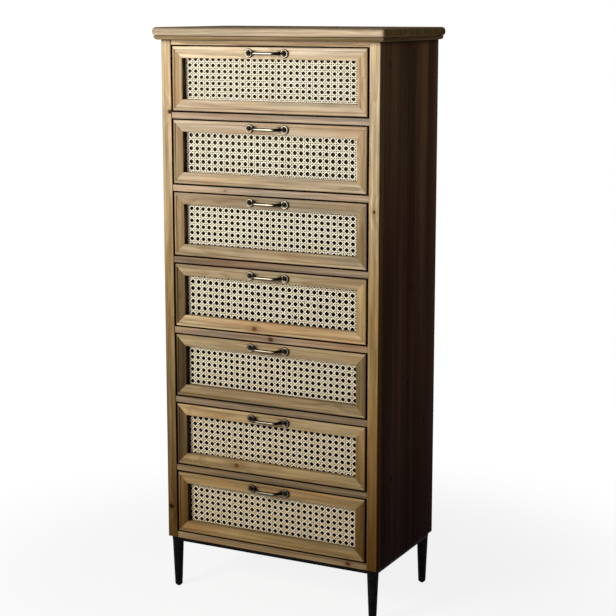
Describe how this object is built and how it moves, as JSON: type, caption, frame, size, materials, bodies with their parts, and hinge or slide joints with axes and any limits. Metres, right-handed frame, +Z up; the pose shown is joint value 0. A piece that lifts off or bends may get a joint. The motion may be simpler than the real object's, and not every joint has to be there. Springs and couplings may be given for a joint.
{
  "type": "tall chest of drawers",
  "caption": "Tall narrow wooden chest whose drawers slide out, with caned fronts in moulded frames, bow pulls and a black steel base on tapered legs.",
  "frame": {"origin": "on the floor under the middle of the whole chest, pulls included", "axes": "X across the front, to the right as seen from the front; Y from the front to the back; Z up"},
  "size_m": [0.525, 0.309, 1.2],
  "materials": {
    "front_wood": "light brown fir with a matte clear coat",
    "side_wood": "dark brown stained planks, matte",
    "plywood": "plain plywood",
    "inner_wood": "plain softwood",
    "cane": "woven natural cane webbing",
    "pull_metal": "aged dark brass",
    "base_steel": "matte black paint",
    "glide_plastic": "black plastic"
  },
  "bodies": {
    "case": {"top_board": "front_wood", "top_moulding": "front_wood", "stile_left": "front_wood", "stile_right": "front_wood", "top_rail": "front_wood", "bottom_rail": "front_wood", "divider_rail_1": "front_wood", "divider_rail_2": "front_wood", "divider_rail_3": "front_wood", "divider_rail_4": "front_wood", "divider_rail_5": "front_wood", "divider_rail_6": "front_wood", "side_panel_left": "side_wood", "side_panel_right": "side_wood", "back_panel": "plywood", "case_bottom": "plywood", "runners_left": "inner_wood", "runners_right": "inner_wood", "base_frame": "base_steel", "leg_front_left": "base_steel", "leg_front_right": "base_steel", "leg_back_left": "base_steel", "leg_back_right": "base_steel", "leg_glides": "glide_plastic"},
    "drawer_1": {"drawer_1_frame": "front_wood", "drawer_1_cane": "cane", "drawer_1_box": "inner_wood", "drawer_1_floor": "plywood", "drawer_1_pull": "pull_metal"},
    "drawer_2": {"drawer_2_frame": "front_wood", "drawer_2_cane": "cane", "drawer_2_box": "inner_wood", "drawer_2_floor": "plywood", "drawer_2_pull": "pull_metal"},
    "drawer_3": {"drawer_3_frame": "front_wood", "drawer_3_cane": "cane", "drawer_3_box": "inner_wood", "drawer_3_floor": "plywood", "drawer_3_pull": "pull_metal"},
    "drawer_4": {"drawer_4_frame": "front_wood", "drawer_4_cane": "cane", "drawer_4_box": "inner_wood", "drawer_4_floor": "plywood", "drawer_4_pull": "pull_metal"},
    "drawer_5": {"drawer_5_frame": "front_wood", "drawer_5_cane": "cane", "drawer_5_box": "inner_wood", "drawer_5_floor": "plywood", "drawer_5_pull": "pull_metal"},
    "drawer_6": {"drawer_6_frame": "front_wood", "drawer_6_cane": "cane", "drawer_6_box": "inner_wood", "drawer_6_floor": "plywood", "drawer_6_pull": "pull_metal"},
    "drawer_7": {"drawer_7_frame": "front_wood", "drawer_7_cane": "cane", "drawer_7_box": "inner_wood", "drawer_7_floor": "plywood", "drawer_7_pull": "pull_metal"}
  },
  "joints": [
    {"name": "drawer_1_slide", "type": "slide", "parent": "case", "child": "drawer_1", "axis": [0, -1, 0], "range_m": [0, 0.2]},
    {"name": "drawer_2_slide", "type": "slide", "parent": "case", "child": "drawer_2", "axis": [0, -1, 0], "range_m": [0, 0.2]},
    {"name": "drawer_3_slide", "type": "slide", "parent": "case", "child": "drawer_3", "axis": [0, -1, 0], "range_m": [0, 0.2]},
    {"name": "drawer_4_slide", "type": "slide", "parent": "case", "child": "drawer_4", "axis": [0, -1, 0], "range_m": [0, 0.2]},
    {"name": "drawer_5_slide", "type": "slide", "parent": "case", "child": "drawer_5", "axis": [0, -1, 0], "range_m": [0, 0.2]},
    {"name": "drawer_6_slide", "type": "slide", "parent": "case", "child": "drawer_6", "axis": [0, -1, 0], "range_m": [0, 0.2]},
    {"name": "drawer_7_slide", "type": "slide", "parent": "case", "child": "drawer_7", "axis": [0, -1, 0], "range_m": [0, 0.2]}
  ]
}
